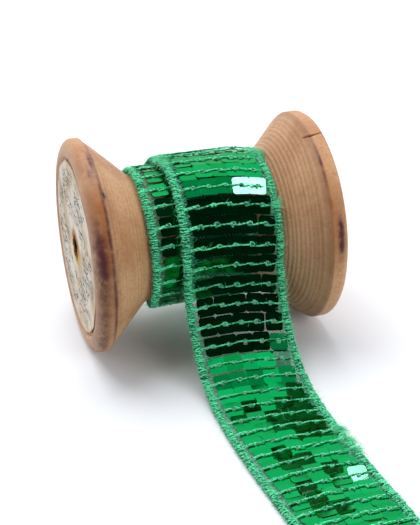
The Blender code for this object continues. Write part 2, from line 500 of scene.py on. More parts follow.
@dataclass(frozen=True)
class FilmFinish:
    """Thin coloured metal film under a clear coat."""

    name: str = "trim_sequins_film"
    base: Colour = (0.0, 0.42, 0.108)
    deep: Colour = (0.0, 0.31, 0.066)
    roughness: float = 0.09
    warp: float = 0.04
    warp_scale: float = 190.0

    def material(self) -> bpy.types.Material:
        """Make the finish.

        Returns:
            The material.
        """
        s = Shader(self.name)
        where = s.place()
        colour = s.lay(s.kept("tint"), self.base, self.deep)
        scratches = s.streaks(where, (700.0, 250.0, 700.0), 3.0, 0.7)
        warp = s.noise(where, self.warp_scale, 0.0, 0.4)
        normal = s.bump(warp, self.warp, 0.0006)
        rough = s.range(scratches, 0.3, 0.75, self.roughness - 0.03, self.roughness + 0.05)
        return s.dress(
            Base_Color=colour,
            Metallic=1.0,
            Roughness=rough,
            Normal=normal,
            Coat_Weight=0.06,
            Coat_Roughness=0.05,
            Coat_IOR=1.45,
        )


@dataclass(frozen=True)
class YarnFinish:
    """Shiny spun thread."""

    name: str
    light: Colour = (0.17, 1.0, 0.53)
    deep: Colour = (0.0, 0.07, 0.03)
    sheen: float = 0.05
    roughness: float = 0.42

    def material(self) -> bpy.types.Material:
        """Make the finish.

        Returns:
            The material.
        """
        s = Shader(self.name)
        where = s.place()
        fibres = s.noise(where, 1900.0, 2.0, 0.6)
        tone = s.math("ADD", s.kept("tone"), s.range(fibres, 0.2, 0.8, -0.22, 0.22), is_held=True)
        colour = s.lay(tone, self.deep, self.light)
        normal = s.bump(fibres, 0.5, 0.00008)
        return s.dress(
            Base_Color=colour,
            Roughness=self.roughness,
            Normal=normal,
            Sheen_Weight=self.sheen,
            Sheen_Roughness=0.4,
            Sheen_Tint=(0.45, 1.0, 0.7),
            Specular_IOR_Level=0.25,
        )


@dataclass(frozen=True)
class NetFinish:
    """Fine net: thin threads with open meshes between them."""

    thread: Colour = (0.01, 0.12, 0.055)
    mesh_size: float = 0.8
    thread_share: float = 0.10

    def material(self) -> bpy.types.Material:
        """Make the finish.

        Returns:
            The material.
        """
        s = Shader("trim_net")
        along, across = s.kept("along"), s.kept("across")
        bars = []
        for sign in (1.0, -1.0):
            slant = s.math("ADD", along, s.times(across, 0.9 * sign))
            step = s.math("FRACT", s.math("DIVIDE", slant, self.mesh_size))
            bars.append(s.math("LESS_THAN", step, self.thread_share))
        solid = s.math("MAXIMUM", bars[0], bars[1])
        tone = s.noise(s.place(), 600.0, 2.0, 0.5)
        colour = s.lay(tone, self.thread, (0.06, 0.32, 0.17))
        return s.dress(Base_Color=colour, Roughness=0.6, Alpha=solid)


@dataclass(frozen=True)
class StudioFinish:
    """Plain pale studio surface."""

    colour: Colour = (0.81, 0.83, 0.865)

    def material(self) -> bpy.types.Material:
        """Make the finish.

        Returns:
            The material.
        """
        s = Shader("studio_pale")
        return s.dress(Base_Color=self.colour, Roughness=0.6, Specular_IOR_Level=0.2)


@dataclass
class Ribbon:
    """The route of the trim, from its hidden start round the spool to its cut end.

    distance runs along the middle of the trim from where it leaves the roll, across from its
    middle toward the bare end of the spool, and height from its underside.
    """

    exit_degrees: float = 92.0
    lean: float = 0.09
    bow: float = 0.75
    # Degrees wound back from where the trim leaves the roll, place along the axis, radius.
    winding: tuple[Place, ...] = (
        (0.0, 4.4, 19.0), (100.0, 4.4, 19.0), (190.0, 2.6, 19.0), (228.0, 1.0, 19.0),
        (275.0, -1.0, 17.0), (335.0, -2.9, 17.0), (450.0, -3.3, 17.0), (570.0, -3.3, 17.0),
    )
    # Place along the axis, distance in front of it, height over the floor.
    tail: tuple[Place, ...] = (
        (4.4, 19.6, 21.6), (4.4, 21.2, 16.5), (4.4, 24.0, 11.9), (4.5, 27.7, 7.7),
        (4.6, 32.0, 4.2), (4.8, 36.6, 1.7), (4.9, 41.5, 0.4), (5.0, 46.5, 0.0),
        (5.3, 54.0, 0.0), (6.0, 62.5, 0.0), (7.0, 71.0, 0.0), (8.1, 80.0, 0.0),
        (9.5, 90.5, 0.0), (11.9, 108.0, 0.0),
    )
    tail_steps: int = 24
    sag_start_x: float = 10.0
    sag_full_x: float = 17.7
    sag_depth: float = 0.95
    sag_last_degrees: float = 228.0
    sag_fade_degrees: float = 40.0
    sag_fade_length: float = 12.0
    look: float = 0.7
    lowest: float = 0.03

    def __post_init__(self) -> None:
        """Lay out the route's points."""
        last = self.winding[-1][0]
        wound = np.linspace(last, 0.0, round(last) + 1)
        x, radius = np.zeros_like(wound), np.zeros_like(wound)
        for row, following in zip(self.winding, self.winding[1:]):
            inside = (wound >= row[0]) & (wound <= following[0])
            share = smooth((wound[inside] - row[0]) / (following[0] - row[0]))
            x[inside] = row[1] + share * (following[1] - row[1])
            radius[inside] = row[2] + share * (following[2] - row[2])
        angle = np.radians(self.exit_degrees - wound)
        roll = np.stack([x, AXIS_Y - radius * np.sin(angle), AXIS_Z + radius * np.cos(angle)], 1)
        tail = np.array([(a, AXIS_Y - b, c) for a, b, c in self.tail])
        loose = curve_through(np.vstack([roll[-1:], tail]), self.tail_steps)[1:]
        self.points = np.vstack([roll, loose])
        self.wound = np.concatenate([wound, np.zeros(len(loose))])
        steps = np.linalg.norm(np.diff(self.points, axis=0), axis=1)
        self.along = np.concatenate([[0.0], np.cumsum(steps)])
        self.along -= self.along[len(roll) - 1]

    @property
    def start(self) -> float:
        """Return the distance of the hidden start."""
        return float(self.along[0])

    @property
    def end(self) -> float:
        """Return the distance of the cut end."""
        return float(self.along[-1])

    def at_wound(self, degrees: float) -> float:
        """Return the distance at a wound angle."""
        count = round(self.winding[-1][0]) + 1
        return float(np.interp(-degrees, -self.wound[:count], self.along[:count]))

    def middle(self, distance: np.ndarray) -> np.ndarray:
        """Return points of the route, carried straight on past its cut end.

        Args:
            distance: Distances along the route.

        Returns:
            The points.
        """
        held = np.clip(distance, self.along[0], self.along[-1])
        found = np.stack([np.interp(held, self.along, self.points[:, k]) for k in range(3)], -1)
        ahead = unit(self.points[-1] - self.points[-4])
        return found + np.maximum(distance - self.along[-1], 0.0)[..., None] * ahead

    def frame(self, distance: np.ndarray) -> tuple[np.ndarray, np.ndarray, np.ndarray]:
        """Return the trim's own directions.

        Args:
            distance: Distances along the route.

        Returns:
            The running, sideways and outward directions.
        """
        held = np.clip(distance, self.along[0] + self.look, self.along[-1] - self.look)
        running = unit(self.middle(held + self.look) - self.middle(held - self.look))
        side = unit(np.array([1.0, 0.0, 0.0]) - running * running[..., :1])
        return running, side, np.cross(running, side)

    def sag(self, x: np.ndarray, distance: np.ndarray) -> np.ndarray:
        """Return how far the trim sags toward the hub where no turn lies under it.

        Args:
            x: Places along the spool's axis.
            distance: Distances along the route.

        Returns:
            The sag.
        """
        share = (x - self.sag_start_x) / (self.sag_full_x - self.sag_start_x)
        full = self.sag_depth * smooth(share)
        wound = np.interp(distance, self.along, self.wound)
        on_roll = 1.0 - smooth((wound - self.sag_last_degrees) / self.sag_fade_degrees)
        on_tail = 1.0 - smooth(distance / self.sag_fade_length)
        return full * np.where(distance > 0.0, on_tail, on_roll)

    def lean_at(self, across: np.ndarray) -> np.ndarray:
        """Return how far a row lies ahead of its middle, at a place across the trim."""
        return self.lean * across + self.bow * (across / BOW_REACH) ** 2

    def turn_at(self, across: float) -> float:
        """Return how far the bow turns a row there, in radians."""
        return 2 * self.bow * across / BOW_REACH**2

    def place(self, distance: np.ndarray, across: np.ndarray, height: np.ndarray) -> np.ndarray:
        """Return points of the trim.

        Args:
            distance: Distance along the trim of the row that the points belong to.
            across: Distance from the trim's middle.
            height: Height above its underside.

        Returns:
            The points, in the shared frame.
        """
        distance, across, height = np.broadcast_arrays(distance, across, height)
        leaned = distance + self.lean_at(across)
        _, side, outward = self.frame(leaned)
        spot = self.middle(leaned) + side * across[..., None] + outward * height[..., None]
        spot = spot - outward * self.sag(spot[..., 0], leaned)[..., None]
        spot[..., 2] = np.maximum(spot[..., 2], self.lowest)
        return spot

    def flat_place(self, distance: np.ndarray, across: np.ndarray, height: object) -> np.ndarray:
        """Return points whose distances are their own, and not those of their rows."""
        return self.place(distance - self.lean_at(across), across, np.asarray(height))


@dataclass(frozen=True)
class StainAndShade:
    """A soft mark on the spool; marks of the shade and band kinds are painted shade."""

    kind: str
    x: float
    degrees: float
    half_x: float
    half_degrees: float
    strength: float = 1.0


@dataclass
class Spool:
    """The turned wooden spool: two rims, two cones, a hub and a bore."""

    flange_radius: float = 27.5
    half_length: float = 32.1
    hub_radius: float = 16.5
    hub_half: float = 16.6
    bore_radius: float = 4.0
    rim_width: float = 4.2
    rounding: float = 1.8
    worn_depth: float = 2.5
    chamfer_length: float = 1.3
    chamfer_drop: float = 1.1
    line_depth: float = 0.3
    line_width: float = 0.5
    recess_depth: float = 0.8
    recess_radius: float = 22.8
    grooves: int = 9
    groove_depth: float = 0.16
    groove_half: float = 0.2
    # Darkness and half width of the shade painted along each turned groove.
    groove_shade: float = 0.45
    groove_shade_half: float = 0.22
    turns: int = 288
    spacing: float = 0.55
    edge_steps: int = 9
    sharp_degrees: float = 40.0
    out_of_round: float = 0.05
    ripple: float = 0.03
    crack_degrees: float = 16.3
    crack_start: float = 26.1
    crack_end: float = 31.9
    crack_least_radius: float = 22.0
    crack_deepest: float = 0.75
    crack_bend: Profile = ((26.2, 26.9, 27.9, 29.7, 31.2), (-2.4, -1.6, 0.0, -0.9, -1.9))
    crack_width: Profile = ((26.2, 27.0, 27.9, 29.6, 31.4), (0.06, 0.36, 0.46, 0.26, 0.1))
    # Where the bore's painted shade reaches out to its mouth.
    dark_mouth_degrees: float = 262.0
    finish: WoodFinish = WoodFinish()
    stains_and_shade: tuple[StainAndShade, ...] = ()

    def corners(self) -> list[tuple[float, float]]:
        """List the outline's corners, from the label's face to the bare face.

        Returns:
            The corners, as (x, radius).
        """
        half, rim = self.half_length, self.half_length - self.rim_width
        floor = -half + self.recess_depth
        turn = np.linspace(0.0, 0.5 * math.pi, self.edge_steps)
        edge_x = half - self.rounding * (1.0 - np.sin(turn))
        edge_r = self.flange_radius - self.rounding * (1.0 - np.cos(turn))
        edge = list(zip(edge_x, edge_r))
        foot = -rim + self.line_width
        low = self.flange_radius - self.line_width
        outline = [(floor, self.bore_radius), (floor, self.recess_radius)]
        outline += [(-half + 0.1, self.recess_radius + self.recess_depth - 0.1)]
        ring = self.recess_radius + self.recess_depth + 0.12
        back_x = -half + self.worn_depth * (1.0 - np.cos(turn))
        outline += list(zip(back_x, ring + (self.flange_radius - ring) * np.sin(turn)))
        outline += [(-rim - 0.12, self.flange_radius), (-rim + 0.05, self.flange_radius - 0.15)]
        outline += [(foot, low - self.line_depth)]
        outline += [(foot + self.chamfer_length, low - self.chamfer_length)]
        hub, hub_half = self.hub_radius, self.hub_half
        outline += [(-hub_half - 0.4, hub + 0.35), (-hub_half + 0.4, hub)]
        outline += [(hub_half - 0.4, hub), (hub_half + 0.4, hub + 0.4)]
        outline += [(rim - self.chamfer_length, self.flange_radius - self.chamfer_drop)]
        outline += [(rim - 0.1, self.flange_radius - 0.12), (rim + 0.15, self.flange_radius)]
        outline += edge + [(half, self.bore_radius + 0.3), (half - 0.3, self.bore_radius)]
        return outline

    def outline(self) -> tuple[np.ndarray, np.ndarray]:
        """Divide the outline finely and cut its grooves.

        Returns:
            The outline's points, and the length gone along it at each.
        """
        corners = np.array(self.corners())
        found = [corners[:1]]
        for a, b in zip(corners, corners[1:]):
            steps = max(1, math.ceil(np.linalg.norm(b - a) / self.spacing))
            on_cone = a[0] > self.hub_half and b[0] < self.half_length - self.rim_width
            steps = steps * 3 if on_cone and b[1] - a[1] > 4 else steps
            share = np.arange(1, steps + 1)[:, None] / steps
            found.append(a + share * (b - a))
        points = np.vstack(found)
        for spot in self.groove_places():
            away = (points[:, 0] - spot) / self.groove_half
            points[:, 1] -= self.groove_depth * np.exp(-(away**2))
        gone = np.concatenate([[0.0], np.cumsum(np.linalg.norm(np.diff(points, axis=0), axis=1))])
        return points, gone

    def groove_places(self) -> np.ndarray:
        """Return where the turned grooves are, along the axis."""
        start, stop = self.hub_half + 1.0, self.half_length - self.rim_width - self.chamfer_length
        return start + (np.arange(self.grooves) + 1.5) / (self.grooves + 1.5) * (stop - start)

    def painted_groove_shade(self, x: np.ndarray) -> np.ndarray:
        """Return the shade painted along the turned grooves."""
        off = np.abs(x[:, None] - self.groove_places()[None, :]).min(axis=1)
        return self.groove_shade * np.exp(-((off / self.groove_shade_half) ** 2))

    def crack_depth(self, x: np.ndarray, degrees: np.ndarray, radius: np.ndarray) -> np.ndarray:
        """Return how deep the crack in the bare end's rim is.

        Args:
            x: Places of the surface's points along the axis.
            degrees: Their angles.
            radius: Their radii.

        Returns:
            The depth at each point.
        """
        away = degrees - self.crack_degrees - np.interp(x, *self.crack_bend)
        off = np.abs(away) * math.pi / 180.0 * self.flange_radius
        width = np.interp(x, *self.crack_width)
        there = smooth((x - self.crack_start) / 0.7) * smooth((self.crack_end - x) / 0.6)
        there = there * (radius > self.crack_least_radius)
        return self.crack_deepest * there * smooth(1.0 - off / width)

    def marks(
        self, x: np.ndarray, degrees: np.ndarray, radius: np.ndarray, crack: np.ndarray
    ) -> dict[str, np.ndarray]:
        """Return how strongly each kind of mark shows, painted shade among them.

        Args:
            x: Places of the surface's points along the axis.
            degrees: Their angles.
            radius: Their radii on the plain outline.
            crack: How deep the crack is at them.

        Returns:
            A number for each point, by the kind of mark.
        """
        kinds = ("band", "grey", "warm", "shade", "purple", "grime_and_shade")
        marks = {kind: np.zeros(x.shape) for kind in kinds}
        for stain_and_shade in self.stains_and_shade:
            away = (degrees - stain_and_shade.degrees + 180.0) % 360.0 - 180.0
            far = ((x - stain_and_shade.x) / stain_and_shade.half_x) ** 2 + (away / stain_and_shade.half_degrees) ** 2
            marks[stain_and_shade.kind] += stain_and_shade.strength * np.exp(-far)
        marks["warm"] += 1.2 * smooth(crack / 0.3)
        # Painted shade deep in the crack.
        marks["shade"] += 1.1 * smooth((crack - 0.25) / 0.3)
        # Painted shade along the turned grooves.
        marks["shade"] += self.painted_groove_shade(x[0])
        # The bore's inside is painted near black as shade, except at its mouth on the label's end,
        # which stays warm bare wood; toward 262 degrees the painted shade reaches out to the mouth.
        bore = radius < self.bore_radius + 1.5
        worn = np.exp(-(((degrees - self.dark_mouth_degrees) / 30.0) ** 2))
        mouth = smooth(-29.2 - x) * (1.0 - worn)
        marks["grime_and_shade"] += 1.2 * bore * (1.0 - mouth)
        marks["warm"] += 0.8 * bore * mouth
        return marks

    def build(self) -> bpy.types.Object:
        """Turn the spool as one closed piece.

        Returns:
            The piece.
        """
        points, gone = self.outline()
        even = np.arange(self.turns) * 360.0 / self.turns
        extra = self.crack_degrees + np.arange(-4.0, 1.8, 0.13) + 0.013
        degrees = np.sort(np.concatenate([even, extra]))[:, None]
        turn = np.radians(degrees)
        x = np.broadcast_to(points[:, 0], (len(degrees), len(points)))
        radius = np.broadcast_to(points[:, 1], x.shape)
        crack = self.crack_depth(x, degrees, radius)
        wave = self.out_of_round * np.sin(3.0 * turn + 0.8) * np.sin(0.11 * x)
        wave = wave + self.ripple * np.sin(11.0 * turn + 0.4 * x)
        wave = np.where(radius > self.bore_radius + 1.0, wave, 0.0)
        drawn = radius + wave * smooth((radius - 5.0) / 6.0) - crack
        y = AXIS_Y - drawn * np.sin(turn)
        z = np.maximum(AXIS_Z + drawn * np.cos(turn), 0.0)
        number = np.arange(x.size).reshape(x.shape)
        faces = quads_between(number, np.roll(number, -1, 0))
        cone = smooth((self.half_length - self.rim_width - np.abs(x)) / 0.5 + 0.5)
        work = Patchwork("wooden_spool")
        marks = self.marks(x, degrees, radius, crack)
        work.add(np.stack([x, y, z], -1), [faces], profile=gone, cone=cone, **marks)
        piece = work.build(self.finish.material())
        piece.data.set_sharp_from_angle(angle=math.radians(self.sharp_degrees))
        return hand_over(piece, "spool")


@dataclass
class Label:
    """The worn paper on one end face, with a torn hole over the bore."""

    radius: float = 22.5
    hole: float = 2.85
    back_x: float = -31.6
    thickness: float = 0.26
    rings: int = 40
    turns: int = 200
    ragged: float = 0.28
    torn_ragged: float = 0.35
    torn_oval: float = 0.30
    torn_least: float = 2.5
    torn_most: float = 4.0
    lift: float = 0.10
    curl: float = 0.22
    curl_width: float = 1.6
    marks_from: float = 7.0
    marks_to: float = 21.2
    stained_to: float = 5.4
    sharp_degrees: float = 50.0
    finish: PaperFinish = PaperFinish()

    def build(self) -> bpy.types.Object:
        """Make the paper as one closed piece.

        Returns:
            The piece.
        """
        rng = np.random.default_rng(11)
        turn = math.tau * np.arange(self.turns) / self.turns
        wobble = sum(
            rng.normal(0.0, 1.0 / wave**0.7) * np.sin(wave * turn + rng.uniform(0.0, 6.3))
            for wave in range(2, 24)
        )
        edge = self.radius - self.ragged * np.abs(wobble)
        torn = self.hole + self.torn_ragged * wobble + self.torn_oval * np.cos(2.0 * turn)
        torn = np.clip(torn, self.torn_least, self.torn_most)
        share = (np.arange(self.rings) / (self.rings - 1))[:, None]
        radius = torn + share * (edge - torn)
        lift = self.lift * rng.normal(size=(self.rings, self.turns))
        for _ in range(3):
            lift = (lift + np.roll(lift, 1, 1) + np.roll(lift, -1, 1)) / 3.0
        curl = self.curl * smooth(1.0 - (radius - torn) / self.curl_width)
        curl = curl * np.abs(np.sin(3.0 * turn))
        front = self.back_x - self.thickness - np.abs(lift) * 0.8 - curl
        back = np.full_like(front, self.back_x)
        y, z = AXIS_Y - radius * np.sin(turn), AXIS_Z + radius * np.cos(turn)
        spot = np.stack([np.stack([front, y, z], -1), np.stack([back, y, z], -1)])
        number = np.arange(2 * self.rings * self.turns).reshape(2, self.rings, self.turns)
        top, bottom = number
        faces = [
            np.roll(quads_between(top[1:], top[:-1]), 1, 1),
            np.roll(quads_between(bottom[1:], bottom[:-1]), 1, 1)[:, ::-1],
            quads_between(top[0], bottom[0]),
            quads_between(top[-1], bottom[-1])[:, ::-1],
        ]
        both = np.broadcast_to(radius, spot.shape[:-1])
        band = smooth((both - self.marks_from) / 2.0) * smooth((self.marks_to - both) / 2.0)
        near = smooth((self.stained_to - both) / 1.4)
        upper = smooth(0.5 + 0.9 * np.cos(turn)) + 0.0 * both
        # The edge value paints a shadow line along the outer edge, and brown along the torn hole's
        # edge.
        rim = smooth(1.0 - (both - torn) / 0.5) + smooth(1.0 - (edge - both) / 0.35)
        work = Patchwork("paper_label")
        work.add(spot, faces, band=band, torn=near, edge=rim, upper=upper)
        piece = work.build(self.finish.material())
        piece.data.set_sharp_from_angle(angle=math.radians(self.sharp_degrees))
        return hand_over(piece, "end_label")


@dataclass(frozen=True)
class Tilt:
    """A sequin or a run of sequins that lies off its row, in degrees."""

    row: str
    first: int
    last: int
    forward: float
    sideways: float = 0.0


@dataclass(frozen=True)
class Glint:
    """A sequin that happens to throw the small lamp's light at the camera. Its finish has a paler
    base colour, a painted highlight that whitens the glint.
    """

    row: str
    place: int
    share: float = 1.0


@dataclass
class TrimRows:
    """Where the rows of sequins are, along the trim."""

    ribbon: Ribbon
    pitch: float = 4.95
    loose_pitch: float = 4.4
    bare_end: float = 3.6
    seen: tuple[tuple[str, float], ...] = (
        ("b", -29.9), ("c", -25.1), ("d", -20.2), ("e", -15.2), ("f", -10.5), ("g", -5.5),
        ("h", -0.4), ("i", 5.3), ("j", 10.4), ("k", 15.6), ("l", 20.8), ("m", 25.8),
        ("n", 30.7), ("o", 35.3), ("p", 40.0), ("q", 44.9), ("r", 49.6), ("s", 54.0),
        ("t", 58.3), ("u", 62.6), ("v", 67.0), ("w", 71.5), ("x", 75.8), ("y", 80.1),
        ("z", 84.4),
    )
    strip: tuple[tuple[str, float], ...] = (
        ("s1", 445.0), ("s2", 429.0), ("s3", 413.0), ("s4", 396.3), ("s5", 380.6),
        ("s6", 364.2), ("s7", 350.0), ("s8", 335.0),
    )

    def fill(self, start: float, stop: float, pitch: float) -> list[float]:
        """Return evenly spaced distances between two, without either."""
        count = max(1, round(abs(stop - start) / pitch))
        return list(np.linspace(start, stop, count + 1)[1:-1])

    def all(self) -> list[tuple[str, float]]:
        """List every row, from the hidden start to the cut end.

        Returns:
            The rows, as (name, distance).
        """
        strip = [(name, self.ribbon.at_wound(degrees)) for name, degrees in self.strip]
        rows = [("", d) for d in self.fill(self.ribbon.start - 2.0, strip[0][1], self.pitch)]
        rows += strip
        rows += [("", d) for d in self.fill(strip[-1][1], self.seen[0][1], self.pitch)]
        rows += list(self.seen)
        first, stop = self.seen[-1][1] + self.loose_pitch, self.ribbon.end - self.bare_end
        rows += [("", float(d)) for d in np.arange(first, stop, self.loose_pitch)]
        return rows


@dataclass
class Sequins:
    """Square sequins with rounded corners and a centre hole, five to a row."""

    rows: TrimRows
    count: int = 5
    spacing: float = 4.2
    centre: float = 0.2
    width: float = 4.45
    length: float = 4.8
    corner: float = 0.75
    hole: float = 0.62
    thickness: float = 0.07
    height: float = 0.98
    overlap_degrees: float = 1.6
    loose_from: float = 24.0
    spread: float = 0.9
    loose_spread: float = 2.8
    side_spread: float = 0.8
    set_spread: float = 0.4
    spin_spread: float = 1.6
    shift_spread: float = 0.12
    rise_spread: float = 0.02
    rise_of_every_second: float = 0.05
    floor_gap: float = 0.05
    floor_lean: Profile = ((33.0, 38.0, 54.0, 62.0), (0.0, -9.0, -9.0, -2.0))
    around: int = 24
    finish: FilmFinish = FilmFinish()
    # The glinting sequins' finish is a paler, redder copy of the film: a painted highlight, so that
    # the lamp's glint turns white.
    bright_finish: FilmFinish = FilmFinish(
        name="trim_sequins_glint",
        base=(0.16, 0.46, 0.27),
        deep=(0.13, 0.42, 0.23),
        roughness=0.24,
        warp=0.20,
        warp_scale=85.0,
    )
    tilts: tuple[Tilt, ...] = ()
    glints: tuple[Glint, ...] = ()
    lamp: Place = (0.0, 0.0, 900.0)
    camera: Place = (0.0, -300.0, 200.0)

    def outline(self) -> tuple[np.ndarray, np.ndarray]:
        """Draw one sequin.

        Returns:
            The outer edge and the hole's edge, as (across, along).
        """
        turn = math.tau * (np.arange(self.around) + 0.5) / self.around
        core = np.stack([np.sign(np.cos(turn)), np.sign(np.sin(turn))], 1)
        core *= np.array([self.width, self.length]) / 2.0 - self.corner
        quarter = self.around // 4
        bend = np.linspace(0.0, 0.5 * math.pi, quarter)
        bends = np.concatenate([bend + 0.5 * math.pi * k for k in range(4)])
        edge = core + self.corner * np.stack([np.cos(bends), np.sin(bends)], 1)
        hole_turn = np.arctan2(edge[:, 1], edge[:, 0])
        hole = self.hole * np.stack([np.cos(hole_turn), np.sin(hole_turn)], 1)
        return edge, hole

    def one(self) -> tuple[np.ndarray, np.ndarray]:
        """Make one flat sequin.

        Returns:
            Its points and its faces.
        """
        edge, hole = self.outline()
        half = self.thickness / 2.0
        rings = [(edge, half), (hole, half), (hole, -half), (edge, -half)]
        points = np.vstack([np.column_stack([ring, np.full(len(ring), z)]) for ring, z in rings])
        number = np.arange(len(points)).reshape(len(rings), self.around)
        return points, quads_between(number, np.roll(number, -1, 0))

    def places(self) -> list[float]:
        """Return where the sequins' holes are, across the trim."""
        first = (self.count - 1) / 2.0
        return [self.centre + (place - first) * self.spacing for place in range(self.count)]

    def leans(
        self, rng: np.random.Generator, name: str, place: int, forward: float, spread: float
    ) -> tuple[float, float]:
        """Draw how far a sequin leans.

        Args:
            rng: The source of random numbers.
            name: Its row.
            place: Its place in the row.
            forward: How far its row leans forward, in degrees.
            spread: How much a sequin differs from its row.

        Returns:
            Its lean forward and sideways, in degrees.
        """
        forward += rng.normal(0.0, spread)
        sideways = self.overlap_degrees + rng.normal(0.0, self.side_spread)
        for tilt in self.tilts:
            if tilt.row == name and tilt.first <= place <= tilt.last:
                forward = tilt.forward + rng.normal(0.0, self.set_spread)
                sideways = tilt.sideways + rng.normal(0.0, self.set_spread)
        return forward, sideways

    def toward_lamp(self, centre: np.ndarray, axes: np.ndarray, share: float) -> np.ndarray:
        """Turn a sequin so that it throws the lamp's light at the camera.

        Args:
            centre: Its middle.
            axes: Its sideways, running and outward directions.
            share: How much of that turn it makes.

        Returns:
            Its new directions.
        """
        side, _, outward = axes
        halfway = unit(unit(self.camera - centre) + unit(self.lamp - centre))
        outward = unit(outward + share * (halfway - outward))
        side = unit(side - outward * np.dot(side, outward))
        return np.stack([side, np.cross(side, outward), outward])

    def build(self) -> list[bpy.types.Object]:
        """Lay all the sequins.

        Returns:
            Two pieces, the second with the sequins that glint.
        """
        rng = np.random.default_rng(5)
        flat, faces = self.one()
        plain, bright = Patchwork("sequins"), Patchwork("sequins_glinting")
        ribbon = self.rows.ribbon
        shares = {(glint.row, glint.place): glint.share for glint in self.glints}
        for name, distance in self.rows.all():
            is_loose = distance > self.loose_from
            row_forward = rng.normal(1.5, 1.6) if is_loose else rng.normal(0.0, 1.5)
            row_forward += float(np.interp(distance, *self.floor_lean))
            for place, across in enumerate(self.places()):
                spread = self.loose_spread if is_loose else self.spread
                forward, sideways = self.leans(rng, name, place, row_forward, spread)
                spin = math.radians(rng.normal(0.0, self.spin_spread))
                spin += ribbon.lean + ribbon.turn_at(across)
                rise = self.height + self.rise_of_every_second * (place % 2)
                rise += rng.normal(0.0, self.rise_spread)
                shift = rng.normal(0.0, self.shift_spread, 2)
                centre = ribbon.place(distance + shift[0], across + shift[1], rise)
                running, side, outward = ribbon.frame(distance + ribbon.lean_at(np.asarray(across)))
                axes = np.stack([side, running, outward])
                turn = (
                    Matrix.Rotation(math.radians(forward), 3, "X")
                    @ Matrix.Rotation(math.radians(sideways), 3, "Y")
                    @ Matrix.Rotation(spin, 3, "Z")
                )
                work = plain
                if (name, place) in shares:
                    work = bright
                    axes = self.toward_lamp(centre, axes, shares[name, place])
                spots = centre + flat @ np.array(turn).T @ axes
                spots[:, 2] += max(0.0, self.floor_gap - spots[:, 2].min())
                work.add(spots, [faces], tint=np.clip(rng.normal(0.4, 0.25), 0.0, 1.0))
        finishes = ((plain, self.finish), (bright, self.bright_finish))
        return [
            hand_over(work.build(finish.material(), is_smooth=False))
            for work, finish in finishes
        ]


@dataclass
class RowThreads:
    """The thread that holds each row: a stitch from hole to hole, with a knot at each."""

    rows: TrimRows
    sequins: Sequins
    ply_radius: float = 0.115
    twist: float = 1.15
    steps: int = 15
    sides: int = 4
    ends: tuple[float, float] = (-11.7, 11.9)
    over_sequins: float = 0.14
    start_before: float = 0.55
    stop_after: float = 0.25
    slope: float = 0.55
    dive: float = 0.55
    rise_depth: float = 0.35
    knot_least: float = 0.40
    knot_most: float = 0.60
    first_stitch: float = 3.0
    loose_from: float = 28.0
    loose_over: float = 12.0
    finish: YarnFinish = YarnFinish("trim_thread_rows")

    def stitches(self, rng: np.random.Generator, distance: float, loose: float) -> np.ndarray:
        """Sew one row: the stitches over it, a knot at each hole and two stitches at its start.

        Args:
            rng: The source of random numbers.
            distance: Where the row is.
            loose: How slack its stitches are, from 0 to 1.

        Returns:
            The stitches, as (stitch, step, (distance, across, height)).
        """
        holes = self.sequins.places()
        ends = [self.ends[0], *holes, self.ends[1]]
        t = np.linspace(0.0, 1.0, self.steps)
        top = self.sequins.height + self.over_sequins
        found = []
        for number, (a, b) in enumerate(zip(ends, ends[1:])):
            start = a - self.start_before + rng.normal(0.0, 0.1)
            stop = b + self.stop_after + rng.normal(0.0, 0.1)
            across = start + (stop - start) * t
            along = (self.slope + rng.normal(0.0, 0.15)) * (0.5 - t) + rng.normal(0.0, 0.10)
            along += 0.12 * np.sin(t * 5.0 + rng.uniform(0, 6))
            arch = 0.14 + 0.10 * rng.random() + loose * (0.06 + 0.16 * rng.random())
            height = top + arch * np.sin(math.pi * t) ** 0.7
            height -= self.dive * smooth((t - 0.86) / 0.14)
            height -= self.rise_depth * smooth((0.12 - t) / 0.12) * (number > 0)
            found.append(np.stack([distance + along, across, height], -1))
        for hole in holes:
            turn = rng.uniform(0.5, 1.3) + np.linspace(0.0, 1.0, self.steps) * rng.uniform(3.6, 5.2)
            size = rng.uniform(self.knot_least, self.knot_most)
            along = distance + size * np.cos(turn) + rng.normal(0.0, 0.08)
            across = hole + 0.1 + size * 1.15 * np.sin(turn)
            height = top + 0.12 + 0.16 * np.sin(turn * 1.3)
            found.append(np.stack([along, across, height], -1))
        for again in range(2):
            across = -11.8 + (self.first_stitch + 0.8 * rng.random()) * t
            along = distance + 0.34 * (again - 0.5) + 0.1 * np.sin(6.0 * t)
            height = top + 0.15 + 0.1 * again - 0.3 * smooth((t - 0.85) / 0.15)
            found.append(np.stack([along, across, height], -1))
        return np.array(found)

    def build(self) -> bpy.types.Object:
        """Sew all the rows.

        Returns:
            Their threads, as one piece.
        """
        rng = np.random.default_rng(23)
        ribbon = self.rows.ribbon
        routes = []
        for _, distance in self.rows.all():
            loose = float(smooth(np.array((distance - self.loose_from) / self.loose_over)))
            routes.append(self.stitches(rng, distance, loose))
        routes = np.concatenate(routes)
        paths = ribbon.place(*np.moveaxis(routes, -1, 0))
        running, _, _ = ribbon.frame(routes[..., 0])
        beside = running + 0.25 * np.array([0.1, 0.2, 1.0])
        shift = rng.random(len(paths))
        plies, sides = plied(paths, beside, self.ply_radius * 1.1, self.twist, shift)
        tone = rng.normal(0.62, 0.14, len(plies))[:, None]
        # One ply of each thread is painted lighter and the other darker: painted light and shade
        # that bring out the twist.
        tone += 0.16 * np.where(np.arange(len(plies)) < len(paths), 1, -1)[:, None]
        tone = np.clip(tone + 0.30 * rng.normal(size=plies.shape[:2]), 0.0, 1.0)
        swell = self.ply_radius * (1.0 + 0.15 * rng.normal(size=(len(plies), 1)).clip(-1, 1))
        taper = np.ones(self.steps)
        taper[[0, -1]] = 0.55
        work = Patchwork("row_threads")
        add_tubes(work, plies, swell * taper, sides, self.sides, tone)
        return hand_over(work.build(self.finish.material()))


class Edge(Enum):
    """The two long edges of the trim."""

    LABEL_SIDE = -1.0
    BARE_SIDE = 1.0


